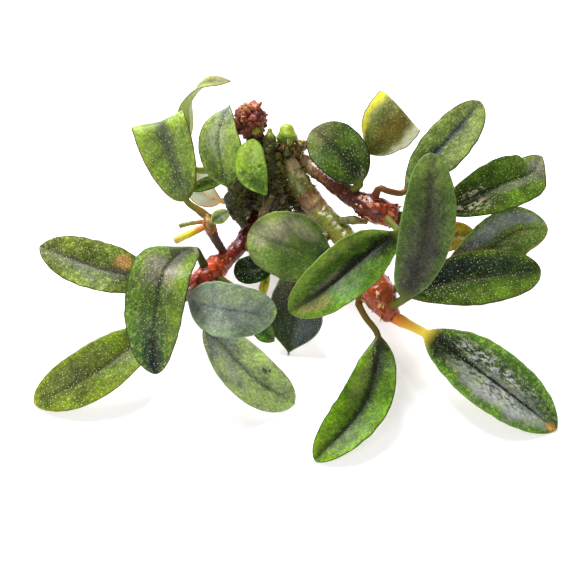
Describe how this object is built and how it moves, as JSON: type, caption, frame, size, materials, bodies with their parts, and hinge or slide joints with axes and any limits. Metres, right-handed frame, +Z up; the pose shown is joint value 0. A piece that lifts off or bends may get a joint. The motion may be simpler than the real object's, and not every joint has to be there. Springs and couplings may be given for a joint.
{
  "type": "aquarium plant",
  "caption": "Small clump of a creeping aquarium plant with wavy oval leaves on short stalks, growing from a branching rhizome, lying loose on a flat surface.",
  "frame": {"origin": "on the surface that the plant lies on, under the middle of its box", "axes": "+Z up from that surface; +X to the right along the clump's longest extent; +Y to the back, towards the crown"},
  "size_m": [0.08, 0.0568, 0.0301],
  "materials": {
    "leaf_green": "satin",
    "leaf_bright": "satin",
    "leaf_dark": "gloss",
    "leaf_pale": "satin",
    "leaf_grey": "satin",
    "leaf_withered": "matte",
    "leaf_ochre": "satin",
    "stem_brown": "gloss",
    "stem_tan": "satin",
    "stem_red": "gloss",
    "stalk_yellow": "satin",
    "crown_moss": "matte",
    "crumb_burgundy": "matte",
    "bud_green": "satin",
    "root_tan": "matte"
  },
  "bodies": {
    "root": {"rhizome_upper_right": "stem_brown", "rhizome_lower_right": "stem_tan", "rhizome_bridge": "stem_tan", "rhizome_left": "stem_red", "shoot_left": "stem_red", "cut_stub_yellow": "stalk_yellow", "cut_stub_olive": "leaf_ochre", "root_tan": "root_tan", "root_tip": "leaf_pale", "bud_narrow": "bud_green", "bud_round": "bud_green", "moss_crumb": "crumb_burgundy", "stump_left": "crown_moss", "stump_right": "crown_moss", "old_leaf_base": "root_tan", "crown": "crown_moss", "leaf_back_left_folded": "leaf_green", "leaf_back_left_crescent": "leaf_pale", "leaf_back_left_tall": "leaf_green", "leaf_back_bright": "leaf_bright", "leaf_back_oval": "leaf_dark", "leaf_back_fan": "leaf_green", "leaf_right_upper": "leaf_green", "leaf_right_upright": "leaf_dark", "leaf_right_curled": "leaf_green", "leaf_right_old": "leaf_ochre", "leaf_right_channelled": "leaf_green", "leaf_right_low": "leaf_green", "leaf_front_right_wet": "leaf_dark", "leaf_front_middle": "leaf_bright", "leaf_centre_long": "leaf_bright", "leaf_centre_broad": "leaf_green", "leaf_left_arched": "leaf_green", "leaf_left_far": "leaf_green", "leaf_left_low": "leaf_pale", "leaf_front_grey": "leaf_grey", "leaf_front_low": "leaf_green", "leaf_under_dark": "leaf_dark", "leaf_under_sliver": "leaf_green", "leaf_under_small": "leaf_dark", "leaf_small_round": "leaf_green", "leaf_withered": "leaf_withered", "leaf_back_shaded": "leaf_dark", "leaf_ochre_sliver": "leaf_ochre"}
  },
  "joints": []
}
